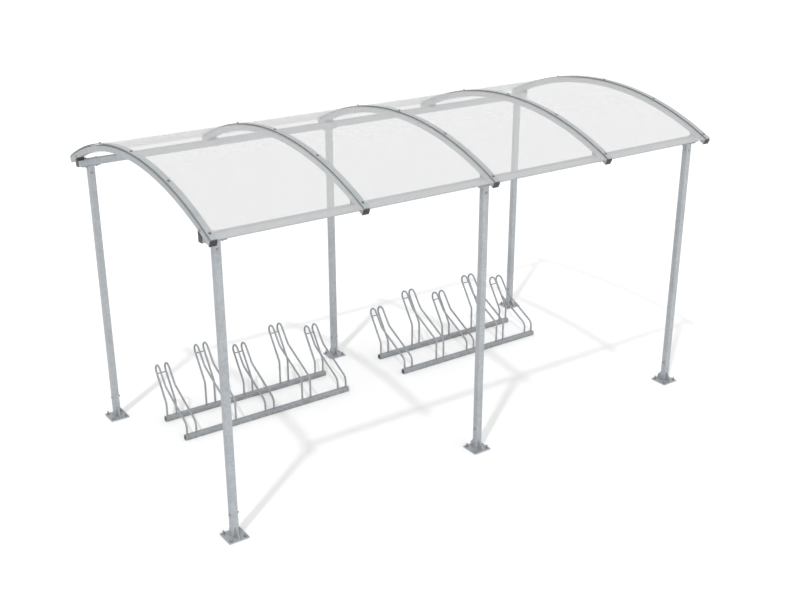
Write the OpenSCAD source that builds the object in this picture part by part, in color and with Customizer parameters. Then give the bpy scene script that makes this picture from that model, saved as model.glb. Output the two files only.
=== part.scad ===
// Open bike shelter: six square posts on bolted feet, two long rails, five bent arches
// that carry four clear curved sheets, and two floor racks with low and high wheel holders.
// Origin: on the ground at the middle of the six posts. +X runs along the shelter,
// -Y is the open front and +Z is up. All sizes are in millimetres.

/* [Shelter] */
// Distance between post axes along the shelter
post_spacing = 2100; // [1700:10:2600]
// Distance between the front and the rear post axes
shelter_depth = 2110; // [1700:10:2600]
// Height of the underside of the two long rails
rail_height = 2130; // [1700:10:2600]

/* [Posts] */
// Side of the square post tube
post_size = 50; // [40:1:80]
// Wall of the post tube
post_wall = 3; // [2:0.5:5]
// Outer corner radius of the post tube
post_corner = 5; // [4:0.5:8]

/* [Feet] */
// Side of the square base plate
foot_plate = 150; // [130:1:220]
// Thickness of the base plate
foot_thick = 10; // [6:1:16]
// Distance between anchor hole centres
anchor_spacing = 110; // [100:1:115]
// Diameter of an anchor hole
anchor_hole = 14; // [10:1:18]
// Height of the two ribs above the base plate
rib_height = 80; // [50:1:120]
// Height of the square outer end of a rib
rib_nose = 18; // [8:1:30]
// Thickness of a rib
rib_thick = 6; // [4:1:10]
// How far the foot's inner sleeve reaches up inside the post
foot_sleeve = 210; // [120:5:300]

/* [Post heads] */
// Length of the head plate under the rail
head_length = 140; // [100:1:200]
// Thickness of the head plate
head_thick = 6; // [4:1:10]
// How far the head's inner sleeve reaches down inside the post
head_sleeve = 90; // [60:5:200]

/* [Rails] */
// Side of the square rail tube
rail_size = 50; // [44:1:90]
// Wall of the rail tube
rail_wall = 3; // [2:0.5:5]
// Outer corner radius of the rail tube
rail_corner = 6; // [4:0.5:8]
// How far the rail runs past the axis of the end posts
rail_overhang = 96; // [80:1:250]
// Thickness of the rail's plastic end cap outside the tube
rail_cap = 4; // [2:1:8]

/* [Arches] */
// Radius of the arch's upper face
arch_radius = 2680; // [2200:10:4000]
// Width of the arch tube along the shelter
arch_width = 50; // [40:1:70]
// Height of the arch tube
arch_height = 40; // [30:1:60]
// Wall of the arch tube
arch_wall = 3; // [2:0.5:5]
// How far the end arches stand outside the axis of the end posts
arch_outset = 75; // [35:1:100]
// How far an arch runs past the rail axis
arch_overhang = 128; // [100:1:200]
// Thickness of the arch's plastic end cap
arch_cap = 5; // [2:1:8]
// Thickness of the plastic wedge at its thin outer edge
pad_edge = 3; // [2:1:10]

/* [Cleats] */
// Leg of the angle cleat that lies on the rail
cleat_leg = 30; // [20:1:60]
// Thickness of the angle cleat
cleat_thick = 4; // [3:1:8]
// Width of the angle cleat along the arch
cleat_width = 40; // [30:1:50]

/* [Roof] */
// Thickness of a clear roof sheet
sheet_thick = 6; // [4:1:16]
// Gap between two sheets over an arch
sheet_gap = 10; // [6:1:16]
// How far a sheet stops short of the arch ends
sheet_inset = 2; // [1:1:40]
// Thickness of the rubber gasket under the sheets
lower_gasket_thick = 3; // [2:0.5:6]
// Width of one gasket strip under the sheets
lower_gasket_width = 10; // [8:1:18]
// Thickness of the rubber gasket over the sheets
upper_gasket_thick = 2; // [1:0.5:4]
// Width of one gasket strip over the sheets
upper_gasket_width = 7; // [6:0.5:9]
// Width of the flat cover strip over a sheet joint
strip_width = 40; // [28:1:50]
// Thickness of the cover strip
strip_thick = 3; // [2:0.5:6]

/* [Bike racks] */
// Side of the square rack rail
rack_tube = 40; // [30:1:50]
// Wall of the rack rail
rack_wall = 2.5; // [2:0.5:4]
// Distance between the axes of a rack's two rails
rack_depth = 378; // [340:1:420]
// Distance from the rear post axis to the rack's front rail axis
rack_setback = 690; // [640:1:760]
// Distance between neighbouring wheel holders
holder_pitch = 350; // [300:1:400]
// Distance between the two loops of one holder
loop_gap = 80; // [60:1:100]
// Diameter of the loop rod
rod_dia = 16; // [12:1:20]
// Diameter of the short tie between two loops
tie_dia = 10; // [6:1:12]
// How much higher the high holders stand
holder_lift = 92; // [60:1:150]
// Distance from a rack rail's end to the nearest loop
rack_end = 20; // [12:1:60]

/* [Hidden] */

// Colours
galvanised = [0.70, 0.73, 0.75];
rack_grey = [0.54, 0.56, 0.57];
strip_grey = [0.76, 0.78, 0.79];
plastic_black = [0.12, 0.12, 0.13];
rubber_grey = [0.28, 0.29, 0.30];
clear_sheet = [0.90, 0.93, 0.94, 0.45];

// Facets of small round shapes and of the large arcs
round_fn = 32;
arc_fn = 360;

// Gap between pieces that rest on each other on a curved face, and around a sleeve
seat_gap = 0.2;
sleeve_gap = 0.5;
// How far a cutting shape reaches past the piece it cuts
cut_past = 1;
// How much thinner a rod's straight stretch is than its bends, and how far it reaches into them
rod_step = 0.1;
rod_bite = 0.5;

// Row and column positions of the posts
front_y = -shelter_depth / 2;
rear_y = shelter_depth / 2;
post_x = [-post_spacing, 0, post_spacing];
post_top = rail_height - head_thick;
post_bottom = foot_thick;
post_bore = post_size - 2 * post_wall;
sleeve_size = post_bore - 2 * sleeve_gap;
sleeve_wall = post_wall;
sleeve_corner = post_corner - post_wall;

rail_length = 2 * (post_spacing + rail_overhang);
rail_top = rail_height + rail_size;

// The arches stand at an even pitch. Their axis lies on the middle plane of the shelter
arch_count = 5;
arch_pitch = 2 * (post_spacing + arch_outset) / (arch_count - 1);
arch_x = [for (i = [0:arch_count - 1]) (i - (arch_count - 1) / 2) * arch_pitch];
arch_inner = arch_radius - arch_height;
arch_axis = arch_radius - arch_height / 2;
pad_outer_y = rear_y + rail_size / 2;
arch_centre_z = rail_top + pad_edge - sqrt(pow(arch_inner, 2) - pow(pad_outer_y, 2));
arch_angle = asin((rear_y + arch_overhang) / arch_axis);

// The roof layers, each one seat gap above the last
lower_gasket_r = arch_radius + seat_gap;
sheet_r = lower_gasket_r + lower_gasket_thick + seat_gap;
upper_gasket_r = sheet_r + sheet_thick + seat_gap;
strip_r = upper_gasket_r + upper_gasket_thick + seat_gap;
sheet_angle = arch_angle - asin(sheet_inset / arch_axis);

// The cleat's upright leg covers the wedge and most of the arch's side
cleat_height = pad_edge + arch_height;

// Rack layout. The loop's outline is drawn from the front rail's axis on the ground
holder_count = 5;
rack_length = (holder_count - 1) * holder_pitch + loop_gap + 2 * rack_end;
rack_front_y = rear_y - rack_setback;
rack_rear_y = rack_front_y + rack_depth;
low_holders = [-2, 0, 2];
high_holders = [-1, 1];

// The loop leans back over the rear rail and turns over in a round top
top_radius = 46;
top_reach = 116;
top_z = 405;
lean = 55;
lean_dir = [cos(lean), sin(lean)];
lean_side = [-sin(lean), cos(lean)];
top_centre = [rack_depth + top_reach, top_z];
front_bend_z = 133;
knee_reach = 18;
knee_z = 312;
rear_bend_z = 155;
leg_bend = 60;
knee_bend = 90;
tie_drop = 14;

// Outline of one loop, lifted for the high holders
function loop_points(lift) = [
    [0, rack_tube],
    [0, front_bend_z + lift],
    [rack_depth - knee_reach, knee_z + lift],
    top_centre + top_radius * (lean_dir + lean_side) + [0, lift],
    top_centre + top_radius * (lean_dir - lean_side) + [0, lift],
    [rack_depth, rear_bend_z + lift],
    [rack_depth, rack_tube]
];
loop_bends = [0, leg_bend, knee_bend, top_radius, top_radius, leg_bend, 0];

function unit(v) = v / norm(v);
function cross2(a, b) = a[0] * b[1] - a[1] * b[0];
function left_of(v) = [-v[1], v[0]];
function into(p, i) = unit(p[i] - p[i - 1]);
function out_of(p, i) = unit(p[i + 1] - p[i]);
function turn(p, i) = atan2(cross2(into(p, i), out_of(p, i)), into(p, i) * out_of(p, i));
function setoff(p, bends, i) =
    i == 0 || i == len(p) - 1 ? 0 : bends[i] * tan(abs(turn(p, i)) / 2);

// Turns a drawing in the plane of Y and Z upright, with its thickness along X
module upright() {
    rotate([90, 0, 90]) children();
}

// A square with round corners
module round_square(size, corner) {
    square([size - 2 * corner, size], center = true);
    square([size, size - 2 * corner], center = true);
    for (x = [-1, 1], y = [-1, 1])
        translate([x, y] * (size / 2 - corner)) circle(r = corner, $fn = round_fn);
}

// A square tube that stands on its end
module square_tube(length, size, wall, corner) {
    linear_extrude(length) difference() {
        round_square(size, corner);
        round_square(size - 2 * wall, max(corner - wall, wall / 2));
    }
}

// A square tube that lies along X, centred
module lying_tube(length, size, wall, corner) {
    translate([-length / 2, 0, 0]) rotate([0, 90, 0]) square_tube(length, size, wall, corner);
}

// A round rod bent along a path in the plane of Y and Z. The straight stretches are drawn
// a hair thinner than the bends and reach a little into them
module bent_rod(points, bends, dia) {
    last = len(points) - 1;
    upright() {
        for (i = [0:last - 1]) {
            dir = out_of(points, i);
            from = points[i] + dir * (setoff(points, bends, i) - (i == 0 ? 0 : rod_bite));
            to = points[i + 1]
                - dir * (setoff(points, bends, i + 1) - (i + 1 == last ? 0 : rod_bite));
            translate([from[0], from[1], 0]) rotate([0, 90, atan2(dir[1], dir[0])])
                cylinder(h = norm(to - from), d = dia - rod_step, $fn = round_fn);
        }
        for (i = [1:last - 1]) {
            angle = turn(points, i);
            side = left_of(into(points, i)) * sign(angle);
            centre = points[i] - into(points, i) * setoff(points, bends, i) + side * bends[i];
            start_angle = atan2(-side[1], -side[0]);
            translate([centre[0], centre[1], 0]) rotate([0, 0, start_angle + min(angle, 0)])
                rotate_extrude(angle = abs(angle), $fn = 2 * round_fn)
                    translate([bends[i], 0]) circle(d = dia, $fn = round_fn);
        }
    }
}

// A curved bar: a stretch of a ring about the arch centre, up to an angle each side
module curved_bar(inner_r, thick, width, angle) {
    reach = 1.2 * (inner_r + thick) / cos(angle);
    translate([0, 0, arch_centre_z]) upright()
        linear_extrude(width, center = true) intersection() {
            difference() {
                circle(r = inner_r + thick, $fn = arc_fn);
                circle(r = inner_r, $fn = arc_fn);
            }
            polygon([[0, 0], reach * [sin(angle), cos(angle)], reach * [-sin(angle), cos(angle)]]);
        }
}

module post(x, y) {
    color(galvanised) translate([x, y, post_bottom])
        square_tube(post_top - post_bottom, post_size, post_wall, post_corner);
}

// Base plate with four anchor holes, an inner sleeve and two ribs, front and rear
module foot(x, y) {
    rib_start = post_size / 2 + sleeve_gap;
    rib_end = foot_plate / 2;
    color(galvanised) translate([x, y, 0]) {
        difference() {
            translate([-foot_plate / 2, -foot_plate / 2, 0])
                cube([foot_plate, foot_plate, foot_thick]);
            for (i = [-1, 1], j = [-1, 1])
                translate([i * anchor_spacing / 2, j * anchor_spacing / 2, -cut_past])
                    cylinder(h = foot_thick + 2 * cut_past, d = anchor_hole, $fn = round_fn);
        }
        translate([0, 0, foot_thick])
            square_tube(foot_sleeve, sleeve_size, sleeve_wall, sleeve_corner);
        for (turned = [0, 180]) rotate([0, 0, turned]) upright()
            linear_extrude(rib_thick, center = true) polygon([
                [rib_start, foot_thick],
                [rib_end, foot_thick],
                [rib_end, foot_thick + rib_nose],
                [rib_start, foot_thick + rib_height]
            ]);
    }
}

// Head plates that close the posts and carry the rail, with a sleeve inside the post
module post_heads(y) {
    color(galvanised) for (x = post_x) translate([x, y, 0]) {
        translate([-head_length / 2, -post_size / 2, post_top])
            cube([head_length, post_size, head_thick]);
        translate([0, 0, post_top - head_sleeve])
            square_tube(head_sleeve, sleeve_size, sleeve_wall, sleeve_corner);
    }
}

module rail(y) {
    color(galvanised) translate([0, y, rail_height + rail_size / 2])
        lying_tube(rail_length, rail_size, rail_wall, rail_corner);
}

module rail_end_caps() {
    color(plastic_black) for (end = [-1, 1], y = [front_y, rear_y])
        translate([end * (rail_length + rail_cap) / 2, y, rail_height + rail_size / 2])
            rotate([0, 90, 0]) linear_extrude(rail_cap, center = true)
                round_square(rail_size, rail_corner);
}

module arch(i) {
    color(galvanised) translate([arch_x[i], 0, 0]) difference() {
        curved_bar(arch_inner, arch_height, arch_width, arch_angle);
        curved_bar(arch_inner + arch_wall, arch_height - 2 * arch_wall,
            arch_width - 2 * arch_wall, arch_angle + 1);
    }
}

module arch_end_caps() {
    color(plastic_black) for (x = arch_x, end = [0, 180])
        translate([x, 0, arch_centre_z]) rotate([0, 0, end]) upright()
            linear_extrude(arch_width, center = true)
                rotate(-arch_angle) translate([0, arch_inner]) square([arch_cap, arch_height]);
}

// Plastic wedges that fill the taper between a rail and the arches
module arch_pads(end) {
    color(plastic_black) for (x = arch_x)
        translate([x, 0, 0]) rotate([0, 0, end]) upright()
            linear_extrude(arch_width, center = true) intersection() {
                translate([0, arch_centre_z]) circle(r = arch_inner - seat_gap, $fn = arc_fn);
                translate([rear_y - rail_size / 2, rail_top]) square([rail_size, rail_size]);
            }
}

// Angle cleats on the rails, to the right of each arch but to the left of the last one
module arch_cleats() {
    color(galvanised) for (i = [0:arch_count - 1], y = [front_y, rear_y])
        translate([arch_x[i], y - cleat_width / 2, rail_top])
            mirror([i == arch_count - 1 ? 1 : 0, 0, 0]) translate([arch_width / 2, 0, 0]) {
                cube([cleat_thick, cleat_width, cleat_height]);
                cube([cleat_leg, cleat_width, cleat_thick]);
            }
}

// A sheet runs to the middle of each joint. The end sheets run to the outer face of the arch
module roof_sheet(i) {
    left = i == 0 ? arch_x[0] - arch_width / 2 : arch_x[i] + sheet_gap / 2;
    right = i == arch_count - 2 ? arch_x[i + 1] + arch_width / 2 : arch_x[i + 1] - sheet_gap / 2;
    color(clear_sheet) translate([(left + right) / 2, 0, 0])
        curved_bar(sheet_r, sheet_thick, right - left, sheet_angle);
}

module cover_strip(i) {
    color(strip_grey) translate([arch_x[i], 0, 0])
        curved_bar(strip_r, strip_thick, strip_width, arch_angle);
}

// Two gasket strips on each arch, flush with the outer edges of what they seal against
module gaskets(inner_r, thick, width, span) {
    color(rubber_grey) for (x = arch_x, side = [-1, 1])
        translate([x + side * (span - width) / 2, 0, 0])
            curved_bar(inner_r, thick, width, sheet_angle);
}

module lower_gaskets() {
    gaskets(lower_gasket_r, lower_gasket_thick, lower_gasket_width, arch_width);
}

module upper_gaskets() {
    gaskets(upper_gasket_r, upper_gasket_thick, upper_gasket_width, strip_width);
}

module rack_rail(side, y) {
    color(rack_grey) translate([side * post_spacing / 2, y, rack_tube / 2])
        lying_tube(rack_length, rack_tube, rack_wall, rack_wall + 1);
}

// Each holder is two bent loops and a short tie near their tops
module rack_holders(side, places, lift) {
    tie = top_centre - top_radius * lean_side - tie_drop * lean_dir + [0, lift];
    color(rack_grey) for (i = places)
        translate([side * post_spacing / 2 + i * holder_pitch, rack_front_y, 0]) {
            for (x = [-loop_gap / 2, loop_gap / 2])
                translate([x, 0, 0]) bent_rod(loop_points(lift), loop_bends, rod_dia);
            translate([-loop_gap / 2, tie[0], tie[1]]) rotate([0, 90, 0])
                cylinder(h = loop_gap, d = tie_dia, $fn = round_fn);
        }
}

post(post_x[0], front_y);  // front_left_post
post(post_x[1], front_y);  // front_middle_post
post(post_x[2], front_y);  // front_right_post
post(post_x[0], rear_y);  // rear_left_post
post(post_x[1], rear_y);  // rear_middle_post
post(post_x[2], rear_y);  // rear_right_post
foot(post_x[0], front_y);  // front_left_foot
foot(post_x[1], front_y);  // front_middle_foot
foot(post_x[2], front_y);  // front_right_foot
foot(post_x[0], rear_y);  // rear_left_foot
foot(post_x[1], rear_y);  // rear_middle_foot
foot(post_x[2], rear_y);  // rear_right_foot
post_heads(front_y);  // front_post_heads
post_heads(rear_y);  // rear_post_heads
rail(front_y);  // front_rail
rail(rear_y);  // rear_rail
rail_end_caps();
arch(0);  // arch_1
arch(1);  // arch_2
arch(2);  // arch_3
arch(3);  // arch_4
arch(4);  // arch_5
arch_end_caps();
arch_pads(180);  // front_arch_pads
arch_pads(0);  // rear_arch_pads
arch_cleats();
roof_sheet(0);  // roof_sheet_1
roof_sheet(1);  // roof_sheet_2
roof_sheet(2);  // roof_sheet_3
roof_sheet(3);  // roof_sheet_4
cover_strip(0);  // cover_strip_1
cover_strip(1);  // cover_strip_2
cover_strip(2);  // cover_strip_3
cover_strip(3);  // cover_strip_4
cover_strip(4);  // cover_strip_5
lower_gaskets();
upper_gaskets();
rack_rail(-1, rack_front_y);  // left_rack_front_rail
rack_rail(-1, rack_rear_y);  // left_rack_rear_rail
rack_holders(-1, low_holders, 0);  // left_rack_low_holders
rack_holders(-1, high_holders, holder_lift);  // left_rack_high_holders
rack_rail(1, rack_front_y);  // right_rack_front_rail
rack_rail(1, rack_rear_y);  // right_rack_rear_rail
rack_holders(1, low_holders, 0);  // right_rack_low_holders
rack_holders(1, high_holders, holder_lift);  // right_rack_high_holders
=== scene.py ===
import math

import bmesh
import bpy
from mathutils import Matrix, Vector


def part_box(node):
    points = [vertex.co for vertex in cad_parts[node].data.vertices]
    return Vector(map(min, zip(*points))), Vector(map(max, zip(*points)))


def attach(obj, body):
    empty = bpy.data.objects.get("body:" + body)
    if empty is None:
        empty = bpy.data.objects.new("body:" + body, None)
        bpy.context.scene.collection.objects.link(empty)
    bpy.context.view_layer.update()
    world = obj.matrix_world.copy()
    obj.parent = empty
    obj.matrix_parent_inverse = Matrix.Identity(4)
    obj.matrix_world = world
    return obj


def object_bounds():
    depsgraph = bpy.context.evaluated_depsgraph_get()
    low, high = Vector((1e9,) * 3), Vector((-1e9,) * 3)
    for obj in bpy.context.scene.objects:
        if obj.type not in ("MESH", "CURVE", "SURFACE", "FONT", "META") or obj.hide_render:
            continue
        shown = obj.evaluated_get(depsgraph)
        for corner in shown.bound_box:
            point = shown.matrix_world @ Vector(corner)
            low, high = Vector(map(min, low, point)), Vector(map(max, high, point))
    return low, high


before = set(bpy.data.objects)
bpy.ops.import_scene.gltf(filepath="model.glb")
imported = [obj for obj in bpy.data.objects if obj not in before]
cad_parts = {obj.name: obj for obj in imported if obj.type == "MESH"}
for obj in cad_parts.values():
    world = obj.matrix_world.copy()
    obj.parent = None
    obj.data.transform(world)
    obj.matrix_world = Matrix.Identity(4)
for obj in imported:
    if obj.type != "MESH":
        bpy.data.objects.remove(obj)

cad_low, cad_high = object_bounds()

# Studio: a wide pale floor under an even white sky. A high key light from the front left
# leaves a faint shadow of the frame, and a broad low light from the front lifts the faces
# turned that way. The camera stands off the front left corner, above roof height.
floor_radius = 90.0
floor_dull = (0.86, 0.86, 0.86, 1.0)
floor_pale = (0.88, 0.88, 0.88, 1.0)
sky_strength = 0.98
key_strength = 0.95
key_softness = math.radians(2.5)
key_back = Vector((-0.507, -0.368, 1.0))
fill_strength = 0.85
fill_softness = math.radians(70)
fill_back = Vector((0.35, -1.0, 0.30))
camera_place = Vector((-4.847, -6.966, 4.338))
camera_azimuth = -0.6084
camera_elevation = 0.3853
lens_mm = 50.14
sensor_mm = 36.0

scene = bpy.context.scene
scene.view_settings.view_transform = "Standard"
world = bpy.data.worlds.new("studio_sky")
scene.world = world
world.use_nodes = True
sky = world.node_tree.nodes["Background"]
sky.inputs["Color"].default_value = (1.0, 1.0, 1.0, 1.0)
sky.inputs["Strength"].default_value = sky_strength

for name, strength, softness, back in (
    ("key_light", key_strength, key_softness, key_back),
    ("fill_light", fill_strength, fill_softness, fill_back),
):
    light = bpy.data.lights.new(name, "SUN")
    light.energy = strength
    light.angle = softness
    light_object = bpy.data.objects.new(name, light)
    light_object.rotation_mode = "QUATERNION"
    light_object.rotation_quaternion = back.to_track_quat("Z", "Y")
    scene.collection.objects.link(light_object)

camera = bpy.data.cameras.new("camera")
camera.lens = lens_mm
camera.sensor_width = sensor_mm
camera.clip_end = 2 * floor_radius
camera_object = bpy.data.objects.new("camera", camera)
camera_back = Vector((
    math.sin(camera_azimuth) * math.cos(camera_elevation),
    -math.cos(camera_azimuth) * math.cos(camera_elevation),
    math.sin(camera_elevation),
))
camera_object.location = camera_place
camera_object.rotation_mode = "QUATERNION"
camera_object.rotation_quaternion = (-camera_back).to_track_quat("-Z", "Y")
scene.collection.objects.link(camera_object)
scene.camera = camera_object


class Shade:
    """One output socket of a node. Arithmetic on it adds Math nodes."""

    def __init__(self, finish, socket):
        self.finish = finish
        self.socket = socket

    def output(self, name):
        """Another output of the same node."""
        found = [s for s in self.socket.node.outputs if s.enabled and s.name == name]
        return Shade(self.finish, found[0])

    def math(self, operation, first, second):
        """A Math node on two sockets or numbers."""
        return self.finish.node("ShaderNodeMath", {"operation": operation}, {0: first, 1: second})

    def __add__(self, other):
        return self.math("ADD", self, other)

    def __radd__(self, other):
        return self.math("ADD", other, self)

    def __rsub__(self, other):
        return self.math("SUBTRACT", other, self)

    def __mul__(self, other):
        return self.math("MULTIPLY", self, other)

    def __rmul__(self, other):
        return self.math("MULTIPLY", other, self)

    def __truediv__(self, other):
        return self.math("DIVIDE", self, other)

    def between(self, low, high):
        """0 below low, 1 above high, and smooth in between."""
        return self.finish.node(
            "ShaderNodeMapRange",
            {"interpolation_type": "SMOOTHSTEP"},
            {"Value": self, "From Min": low, "From Max": high},
        )


class Finish:
    """One material, made a node at a time."""

    def __init__(self, name):
        self.material = bpy.data.materials.new(name)
        self.material.use_nodes = True
        self.tree = self.material.node_tree
        self.tree.nodes.clear()

    def node(self, kind, settings=None, sockets=None):
        """Adds a node: its settings first, then the values or links of its sockets."""
        made = self.tree.nodes.new(kind)
        for name, value in (settings or {}).items():
            setattr(made, name, value)
        for name, value in (sockets or {}).items():
            if isinstance(name, int):
                socket = made.inputs[name]
            else:
                socket = [s for s in made.inputs if s.enabled and s.name == name][0]
            if isinstance(value, Shade):
                self.tree.links.new(value.socket, socket)
            else:
                socket.default_value = value
        shown = [s for s in made.outputs if s.enabled]
        return Shade(self, shown[0]) if shown else None

    def place(self, stretch=(1.0, 1.0, 1.0)):
        """Object coordinates in metres, stretched by a factor on each axis."""
        coordinates = self.node("ShaderNodeTexCoord").output("Object")
        return self.node(
            "ShaderNodeVectorMath", {"operation": "MULTIPLY"}, {0: coordinates, 1: stretch}
        )

    def noise(self, scale, detail, stretch=(1.0, 1.0, 1.0)):
        """Cloudy noise from 0 to 1, with scale features to a metre."""
        return self.node(
            "ShaderNodeTexNoise",
            None,
            {"Vector": self.place(stretch), "Scale": scale, "Detail": detail},
        )

    def mix(self, factor, first, second):
        """A blend of two colours."""
        return self.node(
            "ShaderNodeMix", {"data_type": "RGBA"}, {"Factor": factor, "A": first, "B": second}
        )

    def bump(self, height, distance, strength):
        """A surface normal tilted by a height from 0 to 1, distance metres deep."""
        return self.node(
            "ShaderNodeBump", None, {"Height": height, "Distance": distance, "Strength": strength}
        )

    def surface(self, sockets):
        """Ends the material in one Principled shader."""
        shader = self.node("ShaderNodeBsdfPrincipled", None, sockets)
        self.node("ShaderNodeOutputMaterial", None, {"Surface": shader})
        return self.material


def put_on(mesh_object, material):
    """Gives every material slot of an object the same material."""
    if not mesh_object.material_slots:
        mesh_object.data.materials.append(material)
    for material_slot in mesh_object.material_slots:
        material_slot.material = material


floor_finish = Finish("studio_floor")
floor_cloud = floor_finish.noise(0.6, 3.0)
floor_material = floor_finish.surface({
    "Base Color": floor_finish.mix(floor_cloud, floor_dull, floor_pale),
    "Roughness": 0.9,
    "Specular IOR Level": 0.1,
})
floor_mesh = bmesh.new()
bmesh.ops.create_circle(floor_mesh, cap_ends=True, segments=96, radius=floor_radius)
floor_data = bpy.data.meshes.new("studio_floor")
floor_mesh.to_mesh(floor_data)
floor_mesh.free()
floor = bpy.data.objects.new("studio_floor", floor_data)
floor.location.z = cad_low.z
scene.collection.objects.link(floor)
put_on(floor, floor_material)

# Feet and posts: 50 mm square steel tube posts, each pushed over a stub that is welded to a
# 150 mm base plate with two ribs. All of it is hot-dip galvanised, which leaves a pale
# blue-grey coat with a large soft spangle, dull runs, and a tone darker in patches near the
# ground.
feet = [f"{row}_{side}_foot" for row in ("front", "rear") for side in ("left", "middle", "right")]
posts = [name.replace("foot", "post") for name in feet]
coat_light = (0.405, 0.427, 0.445, 1.0)
coat_dark = (0.315, 0.338, 0.358, 1.0)
coat_dull = (0.455, 0.470, 0.480, 1.0)
# The colour the frame coat turns towards in patches near the ground.
ground_tone = (0.305, 0.315, 0.335, 1.0)
spangle_scale = 70.0
ground_tone_height = 0.16


def zinc_coat(name, light, dark, dull, low_tone, low_tone_top):
    """Hot-dip galvanised steel: spangle, cloudy tone, runs down the face and a darker tone low
    down.
    """
    finish = Finish(name)
    warp = finish.noise(9.0, 2.0)
    warped = finish.node(
        "ShaderNodeVectorMath",
        {"operation": "MULTIPLY_ADD"},
        {0: warp.output("Color"), 1: (0.012, 0.012, 0.012), 2: finish.place()},
    )
    spangle = finish.node(
        "ShaderNodeTexVoronoi", None, {"Vector": warped, "Scale": spangle_scale, "Randomness": 1.0}
    )
    grain_tone = finish.node(
        "ShaderNodeSeparateColor", None, {"Color": spangle.output("Color")}
    )
    cloud = finish.noise(5.0, 4.0)
    runs = finish.noise(1.0, 5.0, (26.0, 26.0, 1.6))
    tone = (grain_tone * 0.30 + cloud * 0.45 + runs * 0.25).between(0.25, 0.75)
    coat = finish.mix(tone, dark, light)
    white_bloom = finish.noise(17.0, 6.0).between(0.58, 0.78) * 0.55
    coat = finish.mix(white_bloom, coat, dull)
    height = finish.node("ShaderNodeSeparateXYZ", None, {"Vector": finish.place()}).output("Z")
    # Below a set height the coat darkens in patches, most at the ground, and is less metallic
    # there.
    low_down = 1 - height.between(0.0, low_tone_top)
    low_tone_mask = low_down * finish.noise(38.0, 5.0, (1.0, 1.0, 0.4)).between(0.30, 0.70) * 0.75
    coat = finish.mix(low_tone_mask, coat, low_tone)
    fine = finish.noise(420.0, 3.0)
    relief = grain_tone * 0.35 + fine * 0.4 + runs * 0.25
    return finish.surface({
        "Base Color": coat,
        "Metallic": 0.35 - 0.25 * low_tone_mask,
        "Roughness": 0.46 + 0.16 * tone + 0.14 * white_bloom,
        "Normal": finish.bump(relief, 0.0004, 0.35),
    })


galvanised = zinc_coat(
    "galvanised_steel", coat_light, coat_dark, coat_dull, ground_tone, ground_tone_height
)
for name in feet + posts:
    put_on(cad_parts[name], galvanised)

# Foot welds: each rib is fillet-welded to its base plate along both sides before galvanising.
# A weld is a run of overlapping drops about 6 mm wide, one every 3 mm.
rib_thick = 0.006
plate_thick = 0.010
post_half = 0.025
weld_radius = 0.0032
weld_drop = 0.003
weld_waist = 0.16
weld_tip = 0.35
weld_tip_growth = 0.4
weld_start_gap = 0.003
weld_end_gap = 0.002
weld_sides = 10
weld_rings_per_drop = 4


def loft(mesh, place, rings):
    """Skins a stack of rings of points and closes both ends with a face."""
    rows = [[mesh.verts.new(place @ Vector(point)) for point in ring] for ring in rings]
    for lower, upper in zip(rows, rows[1:]):
        for i in range(len(lower)):
            j = (i + 1) % len(lower)
            mesh.faces.new((lower[i], lower[j], upper[j], upper[i]))
    mesh.faces.new(list(reversed(rows[0])))
    mesh.faces.new(rows[-1])


def drop_size(k):
    """The share of its full radius that a bead has at ring k, narrower between two drops."""
    return 1 - weld_waist + weld_waist * abs(math.sin(math.pi * k / weld_rings_per_drop))


def weld_bead(mesh, start, end, radius, drop):
    """A straight bead of overlapping drops from start to end."""
    run = end - start
    place = Matrix.Translation(start) @ run.to_track_quat("Z", "Y").to_matrix().to_4x4()
    drops = max(2, round(run.length / drop))
    count = drops * weld_rings_per_drop
    rings = []
    for k in range(count + 1):
        taper = min(1.0, weld_tip + weld_tip_growth * min(k, count - k))
        size = radius * drop_size(k) * taper
        rings.append([
            (
                size * math.cos(2 * math.pi * i / weld_sides),
                size * math.sin(2 * math.pi * i / weld_sides),
                run.length * k / count,
            )
            for i in range(weld_sides)
        ])
    loft(mesh, place, rings)


def add_piece(name, mesh, material, smooth_angle=40):
    """Turns a mesh under construction into a piece of the shelter, fixed to its one body."""
    bmesh.ops.recalc_face_normals(mesh, faces=mesh.faces)
    for face in mesh.faces:
        face.smooth = True
    for edge in mesh.edges:
        sharp = edge.calc_face_angle(math.pi) > math.radians(smooth_angle)
        edge.smooth = not sharp
    data = bpy.data.meshes.new(name)
    mesh.to_mesh(data)
    mesh.free()
    piece = bpy.data.objects.new(name, data)
    scene.collection.objects.link(piece)
    put_on(piece, material)
    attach(piece, "root")
    return piece


def middle(node):
    """The middle of a CAD node's box."""
    low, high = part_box(node)
    return (low + high) / 2


for name in feet:
    low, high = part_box(name)
    centre = middle(name)
    welds = bmesh.new()
    z = low.z + plate_thick
    for y_side in (-1, 1):
        inner = centre.y + y_side * (post_half + weld_start_gap)
        outer = centre.y + y_side * ((high.y - low.y) / 2 - weld_end_gap)
        for x_side in (-1, 1):
            x = centre.x + x_side * rib_thick / 2
            weld_bead(welds, Vector((x, inner, z)), Vector((x, outer, z)), weld_radius, weld_drop)
    add_piece(f"{name}_welds", welds, galvanised)

# Ground anchors: a 12 mm expansion stud stands up through each of the four holes of a base
# plate, with a zinc-plated washer and hexagon nut on it. The end of the stud shows its thread.
anchor_reach = 0.055
anchor_dia = 0.012
anchor_pitch = 0.00175
stud_above = 0.0265
washer_dia = 0.024
washer_thick = 0.0025
nut_across = 0.019
nut_height = 0.0108
thread_depth = 0.0007
thread_crest = 0.35
thread_root = 0.85
washer_edge_share = 0.2
chamfer_share = 0.95
chamfer_angle = math.radians(30)
plated_light = (0.38, 0.39, 0.40, 1.0)
plated_dark = (0.24, 0.25, 0.26, 1.0)
round_sides = 32
hexagon_sides = 36


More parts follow.
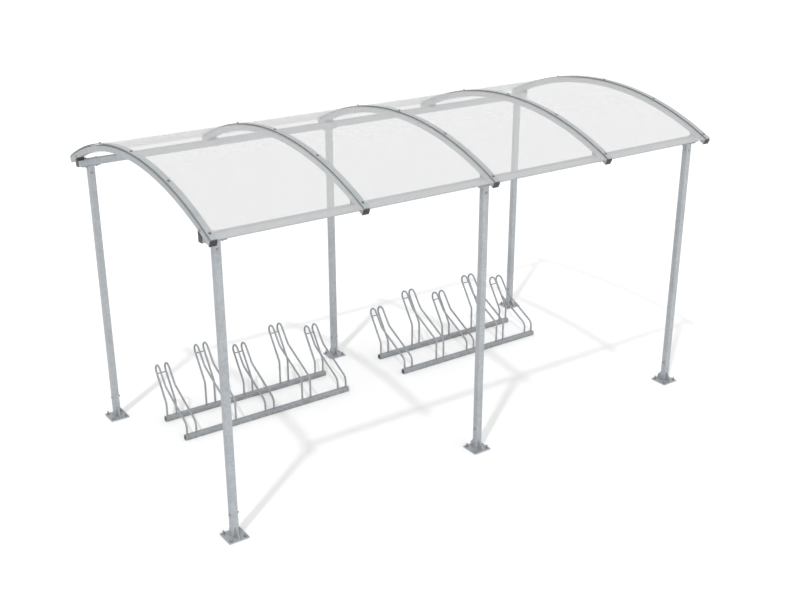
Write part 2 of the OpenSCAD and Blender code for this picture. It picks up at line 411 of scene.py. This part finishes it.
def plated_steel(name, light, dark):
    """Zinc-plated fasteners: bright grey metal with fine turning marks and dulled patches."""
    finish = Finish(name)
    patch = finish.noise(120.0, 4.0)
    marks = finish.noise(900.0, 2.0, (1.0, 1.0, 3.0))
    tone = (patch * 0.7 + marks * 0.3).between(0.3, 0.7)
    return finish.surface({
        "Base Color": finish.mix(tone, dark, light),
        "Metallic": 0.75,
        "Roughness": 0.34 + 0.22 * tone,
        "Normal": finish.bump(marks, 0.0001, 0.3),
    })


def circle_ring(radius, height):
    """Points round a circle at one height."""
    turn = 2 * math.pi / round_sides
    return [
        (radius * math.cos(i * turn), radius * math.sin(i * turn), height)
        for i in range(round_sides)
    ]


def hexagon_ring(across, limit, height):
    """A hexagon whose corners are cut back to the radius limit, as a chamfer does."""
    ring = []
    for i in range(hexagon_sides):
        angle = 2 * math.pi * i / hexagon_sides
        from_flat = (angle + math.pi / 6) % (math.pi / 3) - math.pi / 6
        radius = min(across / 2 / math.cos(from_flat), limit)
        ring.append((radius * math.cos(angle), radius * math.sin(angle), height))
    return ring


def along(place, direction):
    """A frame at place whose Z axis points along direction."""
    turn = Vector(direction).to_track_quat("Z", "Y").to_matrix().to_4x4()
    return Matrix.Translation(place) @ turn


def washer(mesh, place, dia, thick, base=0.0):
    """A flat disc with broken edges, solid because the bolt or screw fills its hole."""
    edge = thick * washer_edge_share
    loft(mesh, place, [
        circle_ring(dia / 2 - edge, base),
        circle_ring(dia / 2, base + edge),
        circle_ring(dia / 2, base + thick - edge),
        circle_ring(dia / 2 - edge, base + thick),
    ])


def hexagon_block(mesh, place, across, height, base, both_ends):
    """A nut or a bolt head, chamfered at the top, and at the bottom too if both_ends."""
    corner = across / 2 / math.cos(math.pi / 6)
    flat = across / 2 * chamfer_share
    drop = (corner - flat) * math.tan(chamfer_angle)
    bottom = [hexagon_ring(across, corner, base)]
    if both_ends:
        bottom = [hexagon_ring(across, flat, base), hexagon_ring(across, corner, base + drop)]
    loft(mesh, place, bottom + [
        hexagon_ring(across, corner, base + height - drop),
        hexagon_ring(across, flat, base + height),
    ])


def threaded_end(mesh, place, dia, pitch, start, end):
    """A rod with ridges one pitch apart and a chamfered tip."""
    turns = max(1, int((end - start) / pitch))
    rings = [circle_ring(dia / 2 - thread_depth, start)]
    for k in range(turns):
        z = start + k * pitch
        rings.append(circle_ring(dia / 2, z + pitch * thread_crest))
        rings.append(circle_ring(dia / 2 - thread_depth, z + pitch * thread_root))
    rings.append(circle_ring(dia / 2 - 2 * thread_depth, end))
    loft(mesh, place, rings)


plated = plated_steel("plated_fasteners", plated_light, plated_dark)
for name in feet:
    plate_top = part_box(name)[0].z + plate_thick
    centre = middle(name)
    anchors = bmesh.new()
    for i in (-1, 1):
        for j in (-1, 1):
            seat = Vector((centre.x + i * anchor_reach, centre.y + j * anchor_reach, plate_top))
            tightened = 0.4 * i + 0.9 * j
            place = along(seat, (0, 0, 1)) @ Matrix.Rotation(tightened, 4, "Z")
            washer(anchors, place, washer_dia, washer_thick)
            hexagon_block(anchors, place, nut_across, nut_height, washer_thick, True)
            threaded_end(
                anchors, place, anchor_dia, anchor_pitch, washer_thick + nut_height, stud_above
            )
    add_piece(f"{name}_anchors", anchors, plated)

# Foot bolts: a plated 10 mm bolt goes sideways through each post and its stub, 180 mm above
# the ground, with the head on the left, the nut on the right and a washer under each.
foot_bolt_height = 0.18
ten_mm_bolt = {
    "dia": 0.010,
    "pitch": 0.0015,
    "across": 0.017,
    "head": 0.0064,
    "nut": 0.0084,
    "tail": 0.0165,
    "washer_dia": 0.021,
    "washer_thick": 0.002,
}


def through_bolt(mesh, head_seat, nut_seat, bolt):
    """A bolt head on one face and a nut with the thread's end on the opposite face."""
    outward = (head_seat - nut_seat).normalized()
    head_place = along(head_seat, outward)
    nut_place = along(nut_seat, -outward)
    lift = bolt["washer_thick"]
    for place in (head_place, nut_place):
        washer(mesh, place, bolt["washer_dia"], lift)
    hexagon_block(mesh, head_place, bolt["across"], bolt["head"], lift, False)
    hexagon_block(mesh, nut_place, bolt["across"], bolt["nut"], lift, True)
    threaded_end(mesh, nut_place, bolt["dia"], bolt["pitch"], lift + bolt["nut"], bolt["tail"])


for name in posts:
    low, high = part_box(name)
    centre = middle(name)
    bolt = bmesh.new()
    through_bolt(
        bolt,
        Vector((low.x, centre.y, foot_bolt_height)),
        Vector((high.x, centre.y, foot_bolt_height)),
        ten_mm_bolt,
    )
    add_piece(f"{name}_foot_bolt", bolt, plated)

# Post heads: a flat plate with a short stub that drops into the top of each post and is held
# by one 8 mm bolt from front to back. The plate is welded to its stub and galvanised.
head_bolt_below = 0.050
eight_mm_bolt = {
    "dia": 0.008,
    "pitch": 0.00125,
    "across": 0.013,
    "head": 0.0053,
    "nut": 0.0068,
    "tail": 0.013,
    "washer_dia": 0.017,
    "washer_thick": 0.0016,
}

for name in ("front_post_heads", "rear_post_heads"):
    put_on(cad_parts[name], galvanised)
for name in posts:
    low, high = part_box(name)
    centre = middle(name)
    bolt = bmesh.new()
    through_bolt(
        bolt,
        Vector((centre.x, low.y, high.z - head_bolt_below)),
        Vector((centre.x, high.y, high.z - head_bolt_below)),
        eight_mm_bolt,
    )
    add_piece(f"{name}_head_bolt", bolt, plated)

# Rails: one 50 mm square galvanised tube along the front and one along the rear, with a
# moulded black plug in each end. One 8 mm bolt at each post goes down through the rail and
# the post head beside the post, with its nut under the plate.
rail_bolt_offset = 0.048
plastic_light = (0.030, 0.030, 0.032, 1.0)
plastic_dark = (0.016, 0.016, 0.018, 1.0)
plastic_dust = (0.10, 0.10, 0.105, 1.0)


def moulded_plastic(name, light, dark, roughness, grain_scale, grain_depth):
    """Black moulded plastic or rubber: fine grain, scuffs and a little grey dust."""
    finish = Finish(name)
    grain = finish.noise(grain_scale, 3.0)
    dust = finish.noise(28.0, 5.0).between(0.45, 0.80)
    tone = finish.noise(60.0, 3.0).between(0.3, 0.7)
    coat = finish.mix(tone, dark, light)
    coat = finish.mix(dust * 0.22, coat, plastic_dust)
    return finish.surface({
        "Base Color": coat,
        "Roughness": roughness + 0.15 * dust + 0.05 * grain,
        "Normal": finish.bump(grain, grain_depth, 0.5),
    })


black_plastic = moulded_plastic(
    "black_plastic", plastic_light, plastic_dark, 0.42, 1100.0, 0.00015
)
rails = ("front_rail", "rear_rail")
for name in rails:
    put_on(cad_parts[name], galvanised)
put_on(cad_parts["rail_end_caps"], black_plastic)
for name in posts:
    row = name.split("_")[0]
    rail_low, rail_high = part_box(f"{row}_rail")
    post_x = middle(name).x
    side = -1 if post_x >= -post_half else 1
    x = post_x + side * rail_bolt_offset
    plate_under = rail_low.z - rib_thick
    bolt = bmesh.new()
    through_bolt(
        bolt,
        Vector((x, middle(f"{row}_rail").y, rail_high.z)),
        Vector((x, middle(f"{row}_rail").y, plate_under)),
        eight_mm_bolt,
    )
    add_piece(f"{name}_rail_bolt", bolt, plated)

# Arches: five galvanised tubes rolled to one radius, on black wedge pads that sit on the
# rails, with a moulded plug in each end.
arches = [f"arch_{i}" for i in range(1, 6)]
rubber_light = (0.026, 0.027, 0.029, 1.0)
rubber_dark = (0.014, 0.0145, 0.016, 1.0)

for name in arches:
    put_on(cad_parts[name], galvanised)
put_on(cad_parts["arch_end_caps"], black_plastic)
rubber = moulded_plastic("black_rubber", rubber_light, rubber_dark, 0.68, 800.0, 0.0002)
for name in ("front_arch_pads", "rear_arch_pads"):
    put_on(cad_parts[name], rubber)

# Arch cleats: a short galvanised angle beside each arch at each rail. One 8 mm bolt goes down
# through it and the rail, and one goes sideways through the arch into it, nut on the cleat.
cleat_half = 0.015
cleat_thick = 0.004
down_bolt_shift = 0.002
side_bolt_above = 0.028
head_plate_half = 0.070
put_on(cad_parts["arch_cleats"], galvanised)
for i, name in enumerate(arches):
    arch_low, arch_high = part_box(name)
    side = -1 if i == len(arches) - 1 else 1
    inner_x, outer_x = (arch_high.x, arch_low.x) if side > 0 else (arch_low.x, arch_high.x)
    bolts = bmesh.new()
    for rail_name in rails:
        rail_low, rail_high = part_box(rail_name)
        y = middle(rail_name).y
        down_x = inner_x + side * (cleat_half + down_bolt_shift)
        over_head = any(abs(down_x - middle(post).x) < head_plate_half for post in posts)
        under = rail_low.z - (rib_thick if over_head else 0.0)
        through_bolt(
            bolts,
            Vector((down_x, y, rail_high.z + cleat_thick)),
            Vector((down_x, y, under)),
            eight_mm_bolt,
        )
        z = rail_high.z + side_bolt_above
        through_bolt(
            bolts,
            Vector((outer_x, y, z)),
            Vector((inner_x + side * cleat_thick, y, z)),
            eight_mm_bolt,
        )
    add_piece(f"{name}_cleat_bolts", bolts, plated)

# Roof sheets: four translucent twin-wall polycarbonate sheets, 6 mm thick, bent cold over
# the arches. Webs about 10 mm apart run from front to back between the two skins, and show
# as faint lines in the light grey veil of the sheet. Dust gathers a little on top.
sheets = [f"roof_sheet_{i}" for i in range(1, 5)]
web_pitch = 0.0105
web_share = 0.16
sheet_tint = (0.494, 0.499, 0.499, 1.0)
sheet_haze = (0.508, 0.508, 0.504, 1.0)
skin_alpha = 0.36


def translucent_sheet(name, tint, haze, alpha):
    """Twin-wall polycarbonate: a light veil with web lines, fine haze, dust and slow ripple."""
    finish = Finish(name)
    across = finish.node("ShaderNodeSeparateXYZ", None, {"Vector": finish.place()}).output("X")
    stripe = finish.node(
        "ShaderNodeMath", {"operation": "PINGPONG"}, {0: across, 1: web_pitch / 2}
    ) / (web_pitch / 2)
    web = 1 - stripe.between(web_share * 0.5, web_share * 1.5)
    dust = finish.noise(9.0, 8.0, (1.0, 0.6, 1.0)).between(0.30, 0.80)
    specks = finish.noise(70.0, 4.0).between(0.45, 0.75)
    ripple = finish.noise(14.0, 3.0, (6.0, 0.5, 0.5))
    return finish.surface({
        "Base Color": finish.mix(dust, tint, haze),
        "Roughness": 0.29 + 0.04 * dust,
        "IOR": 1.58,
        "Specular IOR Level": 0.35,
        "Alpha": alpha + 0.008 * dust + 0.01 * specks + 0.12 * web,
        "Normal": finish.bump(ripple * 0.8 + web * 0.2, 0.0002, 0.05),
    })


clear_skin = translucent_sheet("clear_sheet", sheet_tint, sheet_haze, skin_alpha)
for name in sheets:
    put_on(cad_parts[name], clear_skin)
    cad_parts[name].visible_shadow = False

# Gaskets: soft black rubber strips under and over the sheet edges, along every arch. They
# are held between the arch, the sheet edges and the cover strip.
for name in ("lower_gaskets", "upper_gaskets"):
    put_on(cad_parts[name], rubber)

# Cover strips: a flat mill-finish aluminium strip over the joint on each arch, rolled to the
# roof, with a fine lengthwise brushing.
strips = [f"cover_strip_{i}" for i in range(1, 6)]
strip_light = (0.46, 0.485, 0.50, 1.0)
strip_dark = (0.36, 0.385, 0.40, 1.0)


def mill_aluminium(name, light, dark):
    """Rolled aluminium: lengthwise lines, cloudy oxide and small dull spots."""
    finish = Finish(name)
    lines = finish.noise(1.0, 4.0, (900.0, 12.0, 12.0))
    cloud = finish.noise(11.0, 5.0)
    spots = finish.noise(90.0, 4.0).between(0.60, 0.80)
    tone = (lines * 0.45 + cloud * 0.55).between(0.25, 0.75)
    return finish.surface({
        "Base Color": finish.mix(tone, dark, light),
        "Metallic": 0.55,
        "Roughness": 0.36 + 0.12 * tone + 0.15 * spots,
        "Normal": finish.bump(lines, 0.0002, 0.25),
    })


aluminium = mill_aluminium("mill_aluminium", strip_light, strip_dark)
for name in strips:
    put_on(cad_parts[name], aluminium)

# Roof screws: five self-drilling screws down each cover strip, evenly spaced along the arch.
# Each has a small hexagon head and a metal washer with a black rubber seal under it.
screw_angles = [-0.44, -0.22, 0.0, 0.22, 0.44]
arch_radius = 2.680
roof_centre_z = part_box("arch_1")[1].z - arch_radius
seal_dia = 0.018
seal_thick = 0.0022
cup_dia = 0.0135
cup_thick = 0.0012
screw_across = 0.008
screw_head = 0.0055

for name in strips:
    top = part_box(name)[1].z - roof_centre_z
    seals = bmesh.new()
    screws = bmesh.new()
    for angle in screw_angles:
        out = Vector((0.0, math.sin(angle), math.cos(angle)))
        place = along(Vector((middle(name).x, 0.0, roof_centre_z)) + out * top, out)
        washer(seals, place, seal_dia, seal_thick)
        washer(screws, place, cup_dia, cup_thick, seal_thick)
        hexagon_block(screws, place, screw_across, screw_head, seal_thick + cup_thick, False)
    add_piece(f"{name}_seals", seals, rubber)
    add_piece(f"{name}_screws", screws, plated)

# Bike racks: two floor racks, each with two square rails and wheel holders at two heights,
# bent from round bar. They are galvanised like the frame, and a little darker.
racks = [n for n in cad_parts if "rack" in n]
rack_light = (0.335, 0.352, 0.365, 1.0)
rack_dark = (0.245, 0.262, 0.275, 1.0)
rack_dull = (0.39, 0.405, 0.415, 1.0)
rack_dirt = (0.17, 0.17, 0.165, 1.0)
rack_dirt_height = 0.05
rack_coat = zinc_coat("rack_zinc", rack_light, rack_dark, rack_dull, rack_dirt, rack_dirt_height)
for name in racks:
    put_on(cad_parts[name], rack_coat)

# Rack welds: both ends of each bent bar stand on a rack rail, welded all round. A weld is a
# ring of overlapping drops about 6 mm wide, galvanised with the rack.
rod_dia = 0.016
loop_gap = 0.080
holders_per_rack = 5
ring_weld_radius = weld_radius
ring_weld_drops = 14


def weld_ring(mesh, centre, radius):
    """A closed bead of drops round an upright bar."""
    count = ring_weld_drops * weld_rings_per_drop
    rows = []
    for k in range(count):
        turn = 2 * math.pi * k / count
        size = ring_weld_radius * drop_size(k)
        row = []
        for i in range(weld_sides):
            round_bead = 2 * math.pi * i / weld_sides
            reach = radius + size * math.cos(round_bead)
            offset = (reach * math.cos(turn), reach * math.sin(turn), size * math.sin(round_bead))
            row.append(mesh.verts.new(centre + Vector(offset)))
        rows.append(row)
    for lower, upper in zip(rows, rows[1:] + rows[:1]):
        for i in range(weld_sides):
            j = (i + 1) % weld_sides
            mesh.faces.new((lower[i], lower[j], upper[j], upper[i]))


for side in ("left", "right"):
    low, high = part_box(f"{side}_rack_low_holders")
    first_x = low.x + rod_dia / 2
    pitch = (high.x - low.x - rod_dia - loop_gap) / (holders_per_rack - 1)
    for row in ("front", "rear"):
        rail_name = f"{side}_rack_{row}_rail"
        rail_middle = middle(rail_name)
        rail_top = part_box(rail_name)[1].z
        welds = bmesh.new()
        for i in range(holders_per_rack):
            for offset in (0.0, loop_gap):
                x = first_x + i * pitch + offset
                weld_ring(welds, Vector((x, rail_middle.y, rail_top)), rod_dia / 2)
        add_piece(f"{rail_name}_welds", welds, rack_coat)
